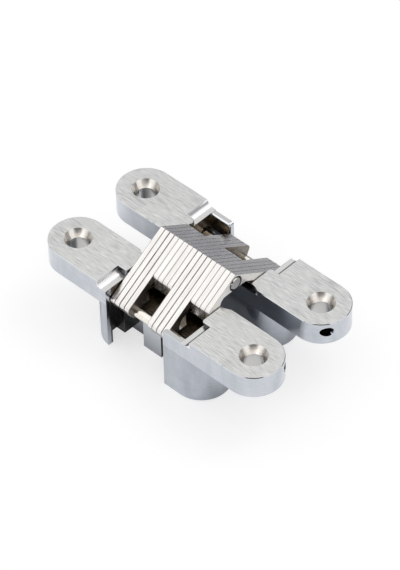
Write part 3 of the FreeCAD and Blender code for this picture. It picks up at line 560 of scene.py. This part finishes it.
# The white rises from next to nothing under the hinge to its full strength well clear of it: to
# the right, to the left, and past the outer sides of the leaves.
WHITE_UNDER = 0.04
WHITE_SEEN = 0.62
clear_of_hinge = WHITE_UNDER
for distance, rises_from, full_from in (
    (spot.outputs["X"], 24.0 * MM, 42.0 * MM),
    (spot.outputs["X"], -30.0 * MM, -76.0 * MM),
    (across, 18.0 * MM, 32.0 * MM),
):
    past = add(tree, "ShaderNodeMapRange", {
        "Value": distance, "From Min": rises_from, "From Max": full_from, "To Min": WHITE_UNDER})
    clear_of_hinge = add(tree, "ShaderNodeMath", {0: clear_of_hinge, 1: past.outputs[0]},
                         operation="MAXIMUM").outputs[0]
mirror_rays = add(tree, "ShaderNodeMath", {
    0: rays.outputs["Is Glossy Ray"], 1: rays.outputs["Is Transmission Ray"]}, operation="MAXIMUM")
mirror_white = region(tree, [], [mirror_rays.outputs[0], clear_of_hinge])
seen = add(tree, "ShaderNodeMath", {0: rays.outputs["Is Camera Ray"], 1: mirror_white},
           operation="MAXIMUM")
glow = add(tree, "ShaderNodeMath", {0: seen.outputs[0], 1: WHITE_SEEN}, operation="MULTIPLY")
matt = add(tree, "ShaderNodeBsdfDiffuse", {"Color": srgb("C4C4C4")})
white = add(tree, "ShaderNodeEmission", {"Color": srgb("FFFFFF"), "Strength": glow.outputs[0]})
both = add(tree, "ShaderNodeAddShader", {0: matt.outputs[0], 1: white.outputs[0]})
add(tree, "ShaderNodeOutputMaterial", {"Surface": both.outputs[0]})
table_top.materials.append(paper)


# The dark cards.
# Black card stands on the table as it does when shiny metal is photographed: a low one behind the
# far leaf, and a tall one where the camera stands. Only mirror rays meet it.


def dark_card(name, start, end, top, light):
    """A card on the table from one foot to the other, in metres, as bright as light says."""
    black_card, tree = new_material("black_card")
    dull = add(tree, "ShaderNodeEmission", {"Color": srgb("F2F5FF"), "Strength": light})
    add(tree, "ShaderNodeOutputMaterial", {"Surface": dull.outputs[0]})
    mesh = bpy.data.meshes.new(name)
    mesh.from_pydata([(*start, 0.0), (*end, 0.0), (*end, top), (*start, top)], [], [(0, 1, 2, 3)])
    mesh.materials.append(black_card)
    card = bpy.data.objects.new(name, mesh)
    card.visible_camera = False
    card.visible_diffuse = False
    card.visible_shadow = False
    card.visible_transmission = False
    bpy.context.scene.collection.objects.link(card)


dark_card("card_behind_far_leaf", (-0.34, 0.11), (0.20, 0.11), top=0.085, light=0.33)
dark_card("card_by_the_photographer", (0.46, -1.72), (1.72, -0.46), top=1.9, light=0.07)


# The light.
# A plain soft studio: a white room, one large faint soft box over the near leaf, and one behind.

ROOM_LIGHT = 0.65
ROOM_SEEN = 1.0
HINGE_MIDDLE = Vector((0, 0, 0.02))
world = bpy.data.worlds.new("white_room")
bpy.context.scene.world = world
world.use_nodes = True
tree = world.node_tree
tree.nodes.clear()
rays = add(tree, "ShaderNodeLightPath")
seen = rays.outputs["Is Camera Ray"]
for kind in ("Is Glossy Ray", "Is Transmission Ray"):
    seen = add(tree, "ShaderNodeMath", {0: seen, 1: rays.outputs[kind]}, operation="MAXIMUM").outputs[0]
room = add(tree, "ShaderNodeMapRange", {"Value": seen, "To Min": ROOM_LIGHT, "To Max": ROOM_SEEN})
sky = add(tree, "ShaderNodeBackground", {"Color": srgb("FFFFFF"), "Strength": room.outputs[0]})
add(tree, "ShaderNodeOutputWorld", {"Surface": sky.outputs[0]})


def soft_box(name, spot, side, power):
    """A square area lamp at a spot, in metres and watts, turned towards the hinge."""
    lamp = bpy.data.lights.new(name, "AREA")
    lamp.shape = "SQUARE"
    lamp.size = side
    lamp.energy = power
    box = bpy.data.objects.new(name, lamp)
    box.location = spot
    box.rotation_euler = (HINGE_MIDDLE - Vector(spot)).to_track_quat("-Z", "Y").to_euler()
    bpy.context.scene.collection.objects.link(box)


soft_box("near_soft_box", (-0.65, -0.60, 1.0), side=1.1, power=0.5)
soft_box("back_soft_box", (0.25, 0.60, 1.05), side=0.6, power=1.4)


# The camera.
# It stands in the photograph's place: 1.4 m away, from the right and above, with a long lens. The
# angles and shifts were worked out from the edges of the screw holes and plates.

CAMERA_TURN = math.radians(44.6295)
CAMERA_RISE = math.radians(45.218)
CAMERA_ROLL = math.radians(-1.5007)
CAMERA_DISTANCE = 1405.1 * MM
SHIFT_RIGHT = 0.5746 * MM
SHIFT_DOWN = 5.8159 * MM
FOCAL_PIXELS = 3656.8
PICTURE_PIXELS = 570
SENSOR = 36.0
back = Vector((
    math.cos(CAMERA_RISE) * math.sin(CAMERA_TURN),
    -math.cos(CAMERA_RISE) * math.cos(CAMERA_TURN),
    math.sin(CAMERA_RISE)))
level = Vector((math.cos(CAMERA_TURN), math.sin(CAMERA_TURN), 0.0))
rise = back.cross(level)
right = math.cos(CAMERA_ROLL) * level + math.sin(CAMERA_ROLL) * rise
top = math.cos(CAMERA_ROLL) * rise - math.sin(CAMERA_ROLL) * level
eye = back * CAMERA_DISTANCE + right * SHIFT_RIGHT - top * SHIFT_DOWN + Vector((0, 0, FACE_HEIGHT))
lens = bpy.data.cameras.new("camera")
lens.sensor_width = SENSOR
lens.lens = FOCAL_PIXELS / PICTURE_PIXELS * SENSOR
camera = bpy.data.objects.new("camera", lens)
camera.matrix_world = Matrix((
    (right.x, top.x, back.x, eye.x),
    (right.y, top.y, back.y, eye.y),
    (right.z, top.z, back.z, eye.z),
    (0, 0, 0, 1)))
bpy.context.scene.collection.objects.link(camera)
bpy.context.scene.camera = camera

bpy.context.scene.view_settings.view_transform = "Standard"
